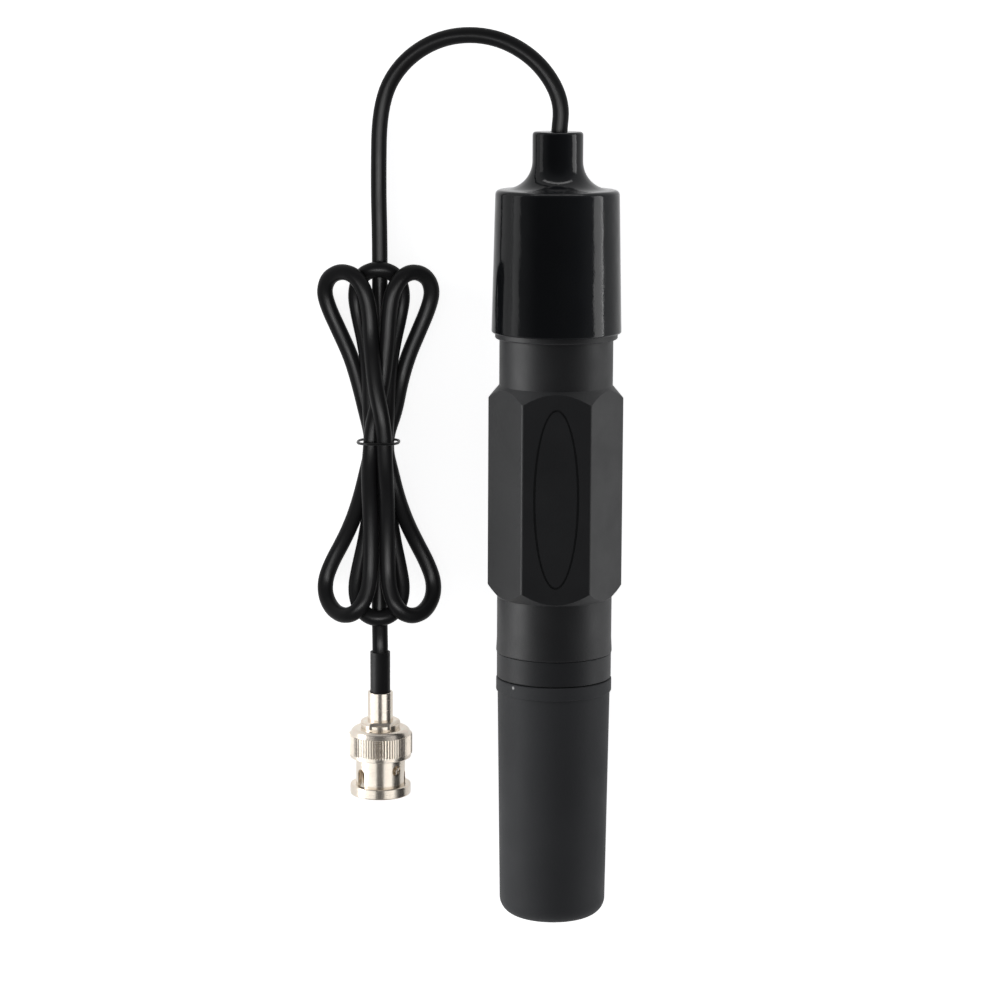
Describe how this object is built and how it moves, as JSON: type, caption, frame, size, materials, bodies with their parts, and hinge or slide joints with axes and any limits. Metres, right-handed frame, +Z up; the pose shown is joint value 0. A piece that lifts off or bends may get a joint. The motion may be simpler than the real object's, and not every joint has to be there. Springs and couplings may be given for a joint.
{
  "type": "orp electrode",
  "caption": "Redox probe with rubber boot, hexagonal grip, slide-off storage cap, tied cable and bayonet plug.",
  "frame": {"origin": "on the table, under the middle of the electrode's box, cable and plug left out", "axes": "+Y along the electrode from the cap to the cable exit, +Z up from the table, +X away from the cable"},
  "size_m": [0.0686, 0.1998, 0.0288],
  "materials": {
    "boot_rubber": "glossy black",
    "grip_plastic": "satin dark grey",
    "collar_plastic": "satin dark grey",
    "cap_plastic": "satin dark grey",
    "sponge_foam": "open foam",
    "seal_rubber": "matt",
    "tube_plastic": "smooth",
    "guard_plastic": "satin",
    "porous_ceramic": "matt",
    "stem_glass": "clear",
    "tip_metal": "polished",
    "wire_metal": "dull silver",
    "copper": "tinned",
    "potting_resin": "cast resin",
    "clamp_metal": "plain",
    "cable_jacket": "satin black",
    "core_insulation": "natural",
    "tie_plastic": "black",
    "shrink_plastic": "black",
    "nickel": "nickel plate",
    "insulator_plastic": "white",
    "pin_metal": "gold plate"
  },
  "bodies": {
    "electrode": {"cable_boot": "boot_rubber", "handle_body": "grip_plastic", "collar_ring": "collar_plastic", "cap_seal_ring": "seal_rubber", "tube_seal_ring": "seal_rubber", "body_tube": "tube_plastic", "tube_stopper": "seal_rubber", "junction_ring": "porous_ceramic", "glass_stem": "stem_glass", "platinum_tip": "tip_metal", "sensor_guard": "guard_plastic", "cable_tail": "cable_jacket", "cable_clamp": "clamp_metal", "potting_plug": "potting_resin", "core_lead": "core_insulation", "core_joint_sleeve": "copper", "measuring_lead": "copper", "braid_pigtail": "copper", "pigtail_joint_sleeve": "copper", "reference_wire": "wire_metal", "plug_ferrule": "nickel", "plug_body": "nickel", "plug_outer_contact": "nickel", "plug_insulator": "insulator_plastic", "plug_center_pin": "pin_metal", "plug_cable_core": "core_insulation", "plug_snap_ring": "nickel", "plug_gasket": "seal_rubber", "shrink_sleeve": "shrink_plastic", "cable_upper_run": "cable_jacket", "cable_hank": "cable_jacket", "cable_lower_run": "cable_jacket", "hank_tie": "tie_plastic"},
    "cap": {"storage_cap": "cap_plastic", "storage_sponge": "sponge_foam"},
    "plug_spring": {"plug_spring_washer": "nickel"},
    "plug_nut": {"plug_coupling_nut": "nickel"}
  },
  "joints": [
    {"name": "cap_pull", "type": "slide", "parent": "electrode", "child": "cap", "axis": [0, -0.9999, -0.0173], "range_m": [0, 0.06]},
    {"name": "nut_take_up", "type": "slide", "parent": "electrode", "child": "plug_spring", "axis": [0, -0.9994, -0.0344], "range_m": [0, 0.0006], "stiffness_N_per_m": 2000, "springref_m": -0.0005},
    {"name": "nut_turn", "type": "hinge", "parent": "plug_spring", "child": "plug_nut", "pos_m": [-0.03935, -0.04675, 0.00745], "axis": [0, -0.9994, -0.0344], "continuous": true}
  ]
}
